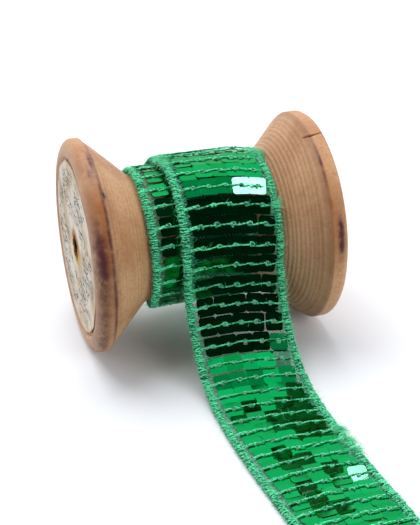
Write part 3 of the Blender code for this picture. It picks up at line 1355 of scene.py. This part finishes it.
@dataclass
class EdgeCord:
    """The overcast cord along one edge: cross stitches over a dark core, with painted shade between
    them.
    """

    ribbon: Ribbon
    edge: Edge
    centre: float = 12.28
    half_width: float = 0.93
    pitch: float = 0.58
    ply_radius: float = 0.125
    core_height: float = 0.62
    core_radius: float = 0.42
    core_share: float = 0.95
    core_step: float = 0.9
    core_sides: int = 10
    # The core is painted dark, so the gaps between the stitches read as shade: painted shade.
    core_tone: float = 0.10
    seeds: tuple[int, int] = (31, 37)
    slant: float = 0.26
    back_slant: float = -0.6
    rise: float = 0.60
    ply_pitch: float = 1.1
    tone: float = 0.68
    # How much darker a stitch is painted toward its ends: painted shade.
    end_shade: float = 0.35
    sides: int = 5
    lowest: float = 0.12
    steps: int = 12
    looseness: float = 0.5
    finish: YarnFinish = YarnFinish("trim_thread_cord")

    def core(self, work: Patchwork) -> None:
        """Add the core that the stitches are wound on.

        Args:
            work: What the core is added to.
        """
        start, stop = self.ribbon.start + 0.2, self.ribbon.end - 0.2
        distance = np.arange(start, stop, self.core_step)[:, None]
        turn = math.tau * np.arange(self.core_sides) / self.core_sides
        across = self.edge.value * self.centre + self.core_share * self.half_width * np.cos(turn)
        height = self.core_height + self.core_radius * np.sin(turn)
        spots = self.ribbon.flat_place(distance, across[None, :], height)
        number = np.arange(spots.size // 3).reshape(spots.shape[:2])
        walls = quads_between(number[:-1], number[1:])
        faces = [walls[:, ::-1], number[:1], number[-1:, ::-1]]
        work.add(spots, faces, tone=self.core_tone)

    def build(self) -> bpy.types.Object:
        """Wind the cord.

        Returns:
            The cord, as one piece.
        """
        rng = np.random.default_rng(self.seeds[self.edge is Edge.BARE_SIDE])
        ribbon = self.ribbon
        work = Patchwork("cord_" + self.edge.name.lower())
        self.core(work)
        count = int((ribbon.end - ribbon.start - 1.0) / self.pitch)
        distance = ribbon.start + 0.5 + self.pitch * np.arange(count)
        distance = distance + rng.normal(0.0, 0.10 * self.looseness, count)
        t = np.linspace(0.0, 1.0, self.steps)
        crossing = np.where(np.arange(count) % 2, 1.0, self.back_slant)
        slant = (self.slant * crossing + rng.normal(0.0, 0.20, count))[:, None]
        half = (self.half_width * (1.0 + rng.normal(0.0, 0.07, count)))[:, None]
        swing = rng.normal(0.0, 0.07, count)[:, None]
        turn = math.pi * (1.0 - t) * 1.12 - 0.06 * math.pi
        across = self.edge.value * self.centre + swing + half * np.cos(turn)
        rise = (self.rise + rng.normal(0.0, 0.08, count))[:, None]
        height = self.core_height + rise * np.sin(turn).clip(-0.5, 1.0)
        along = distance[:, None] + slant * (t - 0.5)
        along += 0.08 * np.sin(7.0 * t + rng.uniform(0.0, 6.0, (count, 1)))
        paths = ribbon.flat_place(along, across, np.maximum(height, self.lowest))
        running, _, _ = ribbon.frame(along)
        shift, radius = rng.random(count), self.ply_radius * 0.95
        plies, beside = plied(paths, running, radius, self.ply_pitch, shift)
        tone = rng.normal(self.tone, 0.24, len(plies))[:, None]
        tone = tone + 0.20 * rng.normal(size=plies.shape[:2])
        # Each stitch is painted darker toward its ends, where it dips between its neighbours:
        # painted shade.
        under = 1.0 - self.end_shade * smooth(np.abs(t - 0.5) * 2.0 - 0.15)
        tone = np.clip(tone, 0.0, 1.0) * under
        add_tubes(work, plies, self.ply_radius, beside, self.sides, tone)
        return hand_over(work.build(self.finish.material()))


@dataclass
class Ground:
    """The net that everything is sewn on, a single sheet under the sequins."""

    ribbon: Ribbon
    half_width: float = 12.1
    height: float = 0.55
    across_steps: int = 14
    along_step: float = 1.5
    finish: NetFinish = NetFinish()

    def build(self) -> bpy.types.Object:
        """Lay the net.

        Returns:
            The net, as one open sheet.
        """
        start, stop = self.ribbon.start + 0.3, self.ribbon.end - 0.3
        distance = np.arange(start, stop, self.along_step)[:, None]
        across = np.linspace(-self.half_width, self.half_width, self.across_steps)[None, :]
        spots = self.ribbon.flat_place(distance, across, self.height)
        number = np.arange(spots.size // 3).reshape(spots.shape[:2])
        faces = quads_between(number[:-1], number[1:], is_round=False)[:, ::-1]
        work = Patchwork("net_ground")
        work.add(spots, [faces], along=distance, across=across)
        return hand_over(work.build(self.finish.material()), "sequin_trim")


@dataclass
class NetLoops:
    """Fine thread loops that cross the open strip between each cord and the sequins."""

    ribbon: Ribbon
    thickness: float = 0.075
    pitch: float = 0.8
    steps: int = 10
    sides: int = 3
    outer: float = 11.6
    finish: YarnFinish = YarnFinish(
        "trim_thread_net", light=(0.10, 0.62, 0.36), deep=(0.01, 0.16, 0.07)
    )

    def build(self) -> bpy.types.Object:
        """Sew the loops.

        Returns:
            The loops, as one piece.
        """
        rng = np.random.default_rng(41)
        ribbon = self.ribbon
        count = int((ribbon.end - ribbon.start - 3.0) / self.pitch)
        t = np.linspace(0.0, 1.0, self.steps)
        even = ribbon.start + 1.0 + self.pitch * np.arange(count)[:, None]
        blocks = []
        for edge in Edge:
            for sign in (1.0, -1.0):
                start = even + rng.normal(0.0, 0.15, (count, 1))
                reach = rng.uniform(1.6, 2.9, (count, 1))
                across = edge.value * (self.outer - reach * t)
                slant = sign * rng.uniform(0.5, 1.5, (count, 1))
                along = start + slant * (t - 0.5)
                along += 0.18 * np.sin(t * rng.uniform(3.0, 8.0, (count, 1)))
                height = 0.62 + 0.35 * np.sin(math.pi * t) * rng.random((count, 1))
                blocks.append(np.stack([along - ribbon.lean_at(across), across, height], -1))
        routes = np.concatenate(blocks)
        paths = ribbon.place(*np.moveaxis(routes, -1, 0))
        running, _, outward = ribbon.frame(routes[..., 0])
        work = Patchwork("net_loops")
        tone = rng.random((len(paths), 1)) * 0.8 + 0.2
        add_tubes(work, paths, self.thickness, running + 0.3 * outward, self.sides, tone)
        return hand_over(work.build(self.finish.material()))


@dataclass(frozen=True)
class Tuft:
    """A place where a cord is frayed."""

    edge: Edge
    distance: float
    half: float
    count: int
    reach: float


@dataclass
class Fuzz:
    """Loose fibres that stand out of the cords and the rows' threads."""

    ribbon: Ribbon
    rows: TrimRows
    per_edge: int = 3300
    per_row: int = 14
    thickness: float = 0.036
    steps: int = 4
    sides: int = 3
    cord_centre: float = 12.15
    cord_height: float = 0.62
    longest: float = 2.4
    finish: YarnFinish = YarnFinish(
        "trim_thread_fuzz", light=(0.30, 1.0, 0.62), deep=(0.08, 0.60, 0.30)
    )
    tufts: tuple[Tuft, ...] = ()

    def roots(self, rng: np.random.Generator) -> tuple[np.ndarray, np.ndarray]:
        """Draw where the fibres start.

        Args:
            rng: The source of random numbers.

        Returns:
            For each fibre its distance, place across, height and headings across and up, and
            the lengths of all fibres.
        """
        ribbon = self.ribbon
        roots, lengths = [], []
        for edge, share, reach in ((Edge.LABEL_SIDE, 0.75, 0.9), (Edge.BARE_SIDE, 1.0, 1.3)):
            count = int(self.per_edge * share)
            distance = rng.uniform(ribbon.start + 0.5, ribbon.end - 0.5, count)
            turn = rng.uniform(-0.2, math.pi + 0.2, count)
            across = edge.value * self.cord_centre + 1.05 * np.cos(turn)
            height = self.cord_height + 0.62 * np.sin(turn)
            roots.append(np.stack([distance, across, height, np.cos(turn), np.sin(turn)], -1))
            lengths.append(reach * rng.gamma(2.2, 0.28, count))
        for tuft in self.tufts:
            turn = rng.uniform(0.1, 2.4, tuft.count)
            across = tuft.edge.value * (self.cord_centre + 0.95 * np.cos(turn))
            distance = tuft.distance + tuft.half * rng.normal(0.0, 0.6, tuft.count)
            away = tuft.edge.value * np.cos(turn)
            height = self.cord_height + 0.6 * np.sin(turn)
            roots.append(np.stack([distance, across, height, away, np.sin(turn)], -1))
            lengths.append(tuft.reach * rng.gamma(3.0, 0.33, tuft.count))
        for _, distance in self.rows.all():
            across = rng.uniform(-11.0, 11.5, self.per_row)
            start = distance + ribbon.lean_at(across) + rng.normal(0.0, 0.2, self.per_row)
            height, up = np.full(self.per_row, 1.25), np.ones(self.per_row)
            away = rng.normal(0.0, 0.8, self.per_row)
            roots.append(np.stack([start, across, height, away, up], -1))
            lengths.append(rng.gamma(2.0, 0.22, self.per_row))
        return np.vstack(roots), np.concatenate(lengths)

    def build(self) -> bpy.types.Object:
        """Grow the fibres.

        Returns:
            The fibres, as one piece.
        """
        rng = np.random.default_rng(53)
        root, length = self.roots(rng)
        length = length.clip(0.15, self.longest)[:, None]
        t = np.linspace(0.0, 1.0, self.steps)
        heading = rng.normal(0.0, 0.9, len(root))[:, None]
        curl = rng.normal(0.0, 1.0, (len(root), 2))
        along = root[:, :1] + length * heading * t * 0.6 + 0.4 * curl[:, :1] * t**2
        across = root[:, 1:2] + length * root[:, 3:4] * t + 0.3 * curl[:, 1:] * t**2
        height = root[:, 2:3] + length * (0.75 * root[:, 4:5] * t - 0.35 * t**2)
        paths = self.ribbon.flat_place(along, across, np.maximum(height, 0.08))
        running, _, outward = self.ribbon.frame(along)
        beside = np.cross(unit(np.gradient(paths, axis=1)), running + 0.3 * outward)
        radii = self.thickness * (1.0 - 0.6 * t)
        work = Patchwork("fuzz")
        add_tubes(work, paths, radii, beside, self.sides, rng.random((len(paths), 1)))
        return hand_over(work.build(self.finish.material()))


@dataclass(frozen=True)
class Lamp:
    """A square soft light."""

    name: str
    place: Place
    size: float
    power: float
    aim: Place = (0.0, 0.0, 0.0)
    colour: Colour = (1.0, 1.0, 1.0)
    is_mirrored: bool = True
    is_diffuse: bool = True

    def build(self) -> bpy.types.Object:
        """Hang the lamp and turn it to its aim.

        Returns:
            The light.
        """
        data = bpy.data.lights.new(self.name, "AREA")
        data.energy = self.power
        data.size = self.size * MM
        data.color = self.colour
        light = bpy.data.objects.new(self.name, data)
        start = np.array(self.place)
        light.location = start * MM
        back = unit(start - np.array(self.aim))
        side = unit(np.cross([0.0, 0.0, 1.0], back) + np.array([1e-6, 0.0, 0.0]))
        up = np.cross(back, side)
        light.rotation_euler = Matrix(np.stack([side, up, back], 1).tolist()).to_euler()
        light.visible_glossy = self.is_mirrored
        light.visible_diffuse = self.is_diffuse
        bpy.context.scene.collection.objects.link(light)
        return light


@dataclass
class Studio:
    """The pale floor, the lights and the camera."""

    camera_place: Place = (-83.019, -246.343, 190.233)
    yaw: float = 16.9597
    pitch: float = 30.1942
    focal_pixels: float = 1295.147
    picture_height: float = 525.0
    sensor: float = 24.0
    nearest: float = 0.01
    floor_size: float = 6000.0
    floor_front: float = 14.0
    floor_level: float = -0.02
    world_strength: float = 1.12
    world_colour: Colour = (0.97, 0.985, 1.02)
    # How far toward the dim side of the room, and how bright the sky is there.
    sky: tuple[tuple[float, float], ...] = (
        (0.0, 1.0), (0.06, 0.92), (0.20, 0.45), (0.38, 0.08), (0.60, 0.02),
    )
    dim_lift: float = 8.0
    dim_yaw: float = -8.0
    overhead: Lamp = Lamp("overhead", (-150.0, 350.0, 900.0), size=700.0, power=7.5)
    front_fill: Lamp = Lamp(
        "front_fill",
        (500.0, -640.0, 420.0),
        size=600.0,
        power=4.6,
        aim=(0.0, 20.0, 20.0),
        is_mirrored=False,
    )
    glint_lamp: Lamp = Lamp(
        "glint_lamp",
        (225.0, -81.0, 864.0),
        size=170.0,
        power=0.85,
        colour=(0.90, 0.82, 1.0),
        is_diffuse=False,
    )

    def add_floor(self) -> None:
        """Add the floor, and its nearest part, which shiny surfaces don't mirror."""
        half = self.floor_size / 2.0
        finish = StudioFinish().material()
        split, level = self.floor_front, self.floor_level
        spans = (("studio_floor", split, half), ("studio_floor_front", -half, split))
        for name, front, back in spans:
            corners = [(-half, front), (half, front), (half, back), (-half, back)]
            work = Patchwork(name)
            spots = np.array([(x, y, level) for x, y in corners])
            work.add(spots, [np.array([[0, 1, 2, 3]])])
            floor = work.build(finish, is_smooth=False)
            floor.visible_glossy = name == "studio_floor"

    def add_camera(self) -> bpy.types.Object:
        """Place and turn the camera as the picture was taken.

        Returns:
            The camera.
        """
        data = bpy.data.cameras.new("camera")
        data.sensor_fit = "VERTICAL"
        data.sensor_height = self.sensor
        data.lens = self.focal_pixels * self.sensor / self.picture_height
        data.clip_start = self.nearest
        camera = bpy.data.objects.new("camera", data)
        camera.location = [value * MM for value in self.camera_place]
        camera.rotation_euler = (math.radians(90.0 - self.pitch), 0.0, math.radians(-self.yaw))
        bpy.context.scene.collection.objects.link(camera)
        bpy.context.scene.camera = camera
        return camera

    def add_world(self) -> None:
        """Make a bright sky overhead and behind, and a dim room on the camera's side."""
        world = bpy.data.worlds.new("studio")
        bpy.context.scene.world = world
        world.use_nodes = True
        tree = world.node_tree
        ground = tree.nodes["Background"]
        where = tree.nodes.new("ShaderNodeTexCoord").outputs["Generated"]
        toward = tree.nodes.new("ShaderNodeVectorMath")
        toward.operation = "DOT_PRODUCT"
        tree.links.new(where, toward.inputs[0])
        lift, yaw = math.radians(self.dim_lift), math.radians(self.dim_yaw)
        level = math.cos(lift)
        facing = (-math.sin(yaw) * level, -math.cos(yaw) * level, math.sin(lift))
        toward.inputs[1].default_value = facing
        ramp = tree.nodes.new("ShaderNodeValToRGB")
        tree.links.new(toward.outputs["Value"], ramp.inputs[0])
        ramp.color_ramp.interpolation = "EASE"
        elements = ramp.color_ramp.elements
        while len(elements) < len(self.sky):
            elements.new(0.5)
        for element, (spot, value) in zip(elements, self.sky):
            element.position = spot
            element.color = (*(value * share for share in self.world_colour), 1.0)
        tree.links.new(ramp.outputs[0], ground.inputs[0])
        ground.inputs[1].default_value = self.world_strength

    def build(self) -> None:
        """Set up the studio."""
        self.add_floor()
        self.add_world()
        self.overhead.build()
        self.front_fill.build()
        lamp = self.glint_lamp.build()
        shiny = bpy.data.collections.new("lit_by_glint_lamp")
        shiny.objects.link(bpy.data.objects["sequins_glinting"])
        lamp.light_linking.receiver_collection = shiny
        self.add_camera()
        scene = bpy.context.scene
        scene.view_settings.view_transform = "Standard"
        scene.view_settings.look = "None"
        scene.view_settings.exposure = 0.0


# Marks on the spool, as (kind, x, degrees, half_x, half_degrees, strength). Purple, warm, grey and
# the dark spot are the wood's own staining. The shade rows are painted shade, darkening the label
# end's rim, most on its front and lower front; the band rows are painted shade on the bare end's
# chamfer and along its rim's inner corner; the dark ring at the label end's incised line is painted
# shade as well.
STAINS_AND_SHADE = tuple(
    StainAndShade(*row)
    for row in (
        ("grey", -31.9, 0.0, 0.7, 900.0, 0.5), ("grime_and_shade", -27.4, 0.0, 0.20, 900.0, 0.6),
        ("shade", -30.0, 0.0, 2.0, 900.0, 0.22), ("purple", -27.8, 66.0, 0.36, 62.0, 1.5),
        ("purple", -28.4, 12.0, 0.5, 6.0, 1.0), ("purple", -29.6, 23.0, 0.8, 6.0, 0.85),
        ("purple", -28.6, 17.0, 0.3, 9.0, 0.6), ("shade", -30.4, 70.0, 1.9, 22.0, 1.3),
        ("purple", -30.2, 68.0, 1.1, 15.0, 1.5), ("shade", -30.6, 100.0, 1.6, 22.0, 0.85),
        ("shade", -30.4, 126.0, 1.6, 16.0, 1.1), ("warm", -28.7, 62.0, 0.65, 24.0, 1.7),
        ("warm", -30.0, 44.0, 2.2, 16.0, 0.6), ("warm", -29.4, 5.0, 2.6, 24.0, 0.35),
        ("grime_and_shade", -27.1, 35.7, 0.5, 1.6, 2.2), ("purple", -26.3, 52.0, 0.22, 24.0, 0.5),
        ("purple", -26.9, 84.0, 0.3, 14.0, 0.5), ("band", 27.2, 0.0, 0.62, 900.0, 0.42),
        ("band", 27.75, 60.0, 0.22, 60.0, 0.35), ("warm", 28.1, 62.0, 0.5, 40.0, 0.6),
        ("purple", 27.95, 34.0, 0.26, 16.0, 1.6), ("purple", 28.2, 60.0, 0.35, 10.0, 0.6),
        ("purple", 29.9, 75.0, 0.75, 9.0, 2.2), ("warm", 29.0, 70.0, 0.5, 26.0, 0.8),
    )
)

TILTS = tuple(
    Tilt(*row)
    for row in (
        ("d", 0, 2, -1.5), ("e", 0, 1, -2.0), ("e", 2, 2, 2.6), ("e", 3, 4, -2.0),
        ("s2", 0, 4, 8.0), ("s3", 0, 4, -5.0), ("h", 0, 1, -14.0), ("l", 4, 4, 13.0),
        ("m", 0, 3, 12.0), ("p", 1, 1, 4.0), ("p", 3, 3, 4.0), ("q", 2, 2, 4.0),
        ("r", 3, 3, 5.0), ("s", 3, 4, 5.0), ("t", 1, 1, 5.0), ("v", 3, 3, 6.5),
        ("w", 1, 1, 8.0), ("x", 1, 1, 9.0), ("y", 2, 2, 7.0),
    )
)

TUFTS = tuple(
    Tuft(*row)
    for row in (
        (Edge.LABEL_SIDE, -34.0, 1.6, 420, 1.5), (Edge.LABEL_SIDE, -30.5, 1.2, 160, 1.0),
        (Edge.BARE_SIDE, -32.0, 1.8, 420, 1.4), (Edge.BARE_SIDE, -14.0, 1.0, 120, 1.1),
        (Edge.BARE_SIDE, 55.5, 0.8, 200, 1.7), (Edge.BARE_SIDE, 60.5, 0.9, 240, 1.8),
        (Edge.BARE_SIDE, 64.5, 0.7, 160, 1.6),
    )
)

GLINTS = (Glint("d", 3), Glint("d", 4), Glint("m", 4, 0.9), Glint("w", 4, 0.75))


def report(piece: bpy.types.Object) -> bpy.types.Object:
    """Log a piece's name and its count of faces, and return it."""
    LOG.info("%s: %d faces", piece.name, len(piece.data.polygons))
    return piece


def main() -> None:
    """Build the spool, its label, the trim and the studio."""
    logging.basicConfig(level=logging.INFO, format="%(name)s %(message)s")
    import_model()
    ribbon = Ribbon()
    rows = TrimRows(ribbon)
    report(Spool(stains_and_shade=STAINS_AND_SHADE).build())
    report(Label().build())
    studio = Studio()
    lamp, camera = studio.glint_lamp.place, studio.camera_place
    sequins = Sequins(rows, tilts=TILTS, glints=GLINTS, lamp=lamp, camera=camera)
    carried = [
        *(report(piece) for piece in sequins.build()),
        report(RowThreads(rows, sequins).build()),
        report(EdgeCord(ribbon, Edge.LABEL_SIDE).build()),
        report(EdgeCord(ribbon, Edge.BARE_SIDE, looseness=1.2).build()),
        report(NetLoops(ribbon).build()),
        report(Fuzz(ribbon, rows, tufts=TUFTS).build()),
    ]
    ground = report(Ground(ribbon).build())
    studio.build()


if __name__ == "__main__":
    main()
